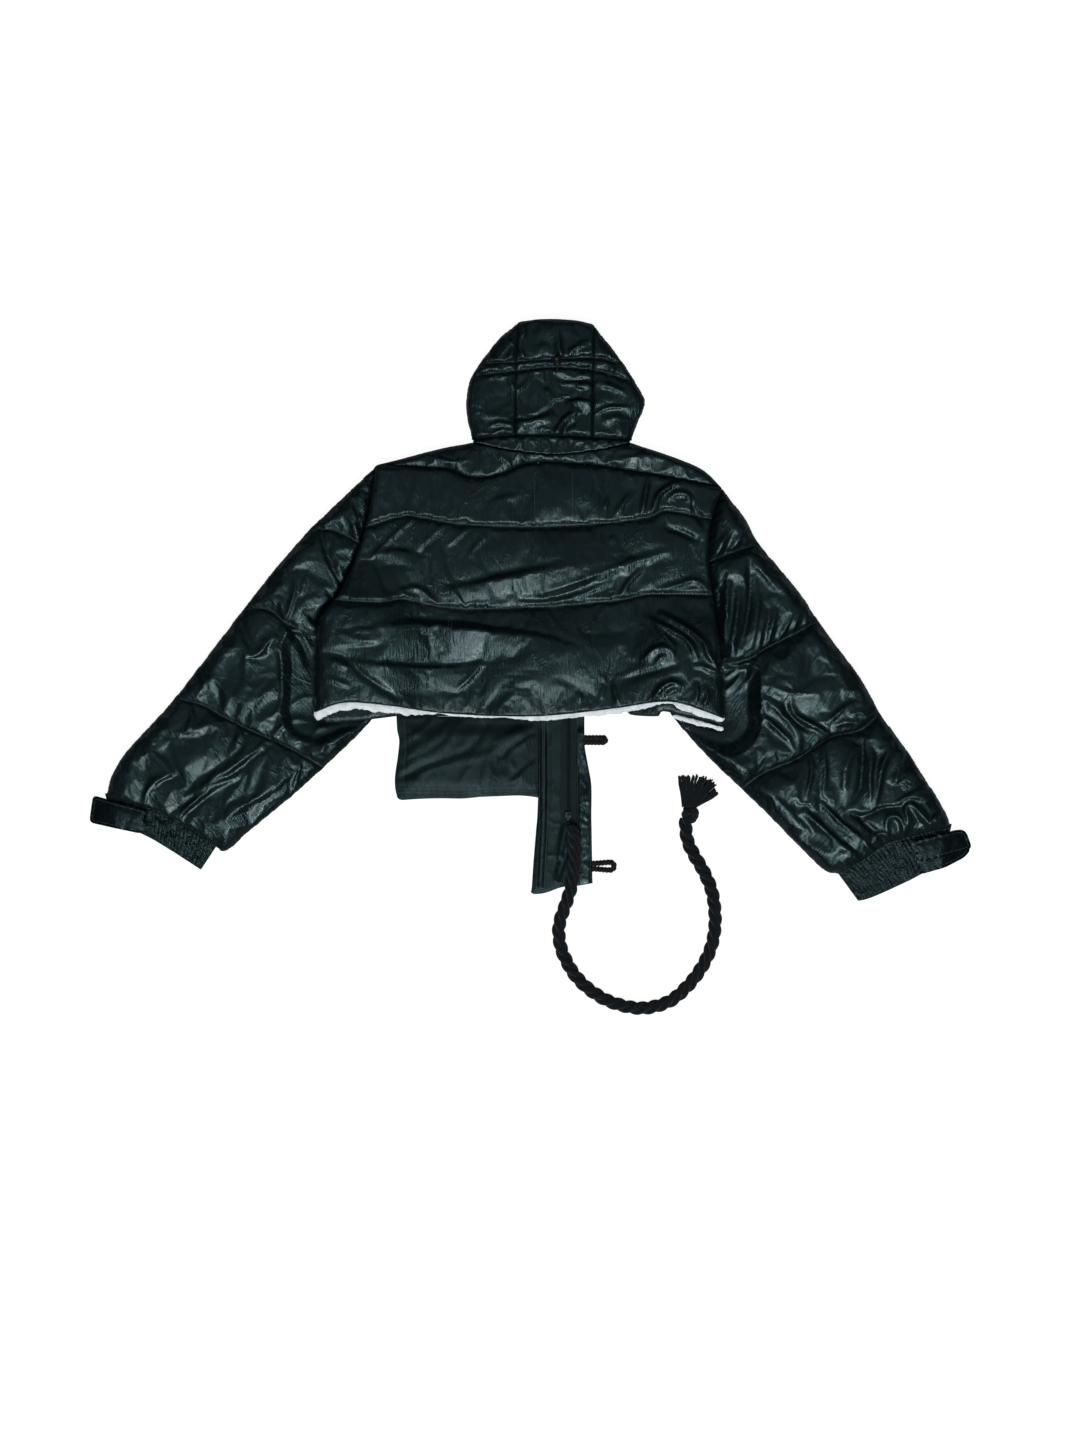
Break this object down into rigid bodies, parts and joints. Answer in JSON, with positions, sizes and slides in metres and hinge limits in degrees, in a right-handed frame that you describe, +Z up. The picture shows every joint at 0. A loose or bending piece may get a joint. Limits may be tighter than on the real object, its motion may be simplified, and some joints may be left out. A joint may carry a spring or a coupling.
{
  "type": "hooded puffer jacket",
  "caption": "Cropped hooded puffer jacket lying flat on its front, with a cut hem, a hanging zip placket and pocket bag, and a thick rope zip pull ending in a knot and tassel.",
  "frame": {"origin": "on the surface that the jacket lies on, under the middle of its flat outline without the rope", "axes": "+Y towards the hood, +X towards the sleeve at the right of someone looking down at the back, +Z up out of the back"},
  "size_m": [1.3212, 1.0416, 0.0764],
  "materials": {
    "coated_shell": "glossy coated dark green-black woven shell, finely crinkled",
    "lining": "satin green-black inner side of the shell",
    "wadding": "white fibre wadding, matt",
    "elastic_cuff": "gathered coated fabric over elastic",
    "zip_tape": "black woven tape and moulded teeth",
    "zip_metal": "dark plated metal",
    "loop_cord": "black braided elastic cord",
    "rope": "black twisted cotton rope, matt",
    "toggle": "black moulded plastic"
  },
  "bodies": {
    "root": {"back": "coated_shell", "yoke": "coated_shell", "collar": "coated_shell", "front_left": "coated_shell", "front_right": "coated_shell", "wadding_back": "wadding", "wadding_front": "wadding", "sleeve_left": "coated_shell", "sleeve_right": "coated_shell", "cuff_left": "elastic_cuff", "cuff_right": "elastic_cuff", "tab_left": "coated_shell", "tab_right": "coated_shell", "hood_centre": "coated_shell", "hood_side_left": "coated_shell", "hood_side_right": "coated_shell", "hood_toggle": "toggle", "placket": "lining", "pocket_bag": "lining", "zip_tape": "zip_tape", "zip_teeth": "zip_tape", "zip_slider": "zip_metal", "loop_upper": "loop_cord", "loop_lower": "loop_cord", "rope": "rope", "rope_knot": "rope", "rope_tassel": "rope"}
  },
  "joints": []
}
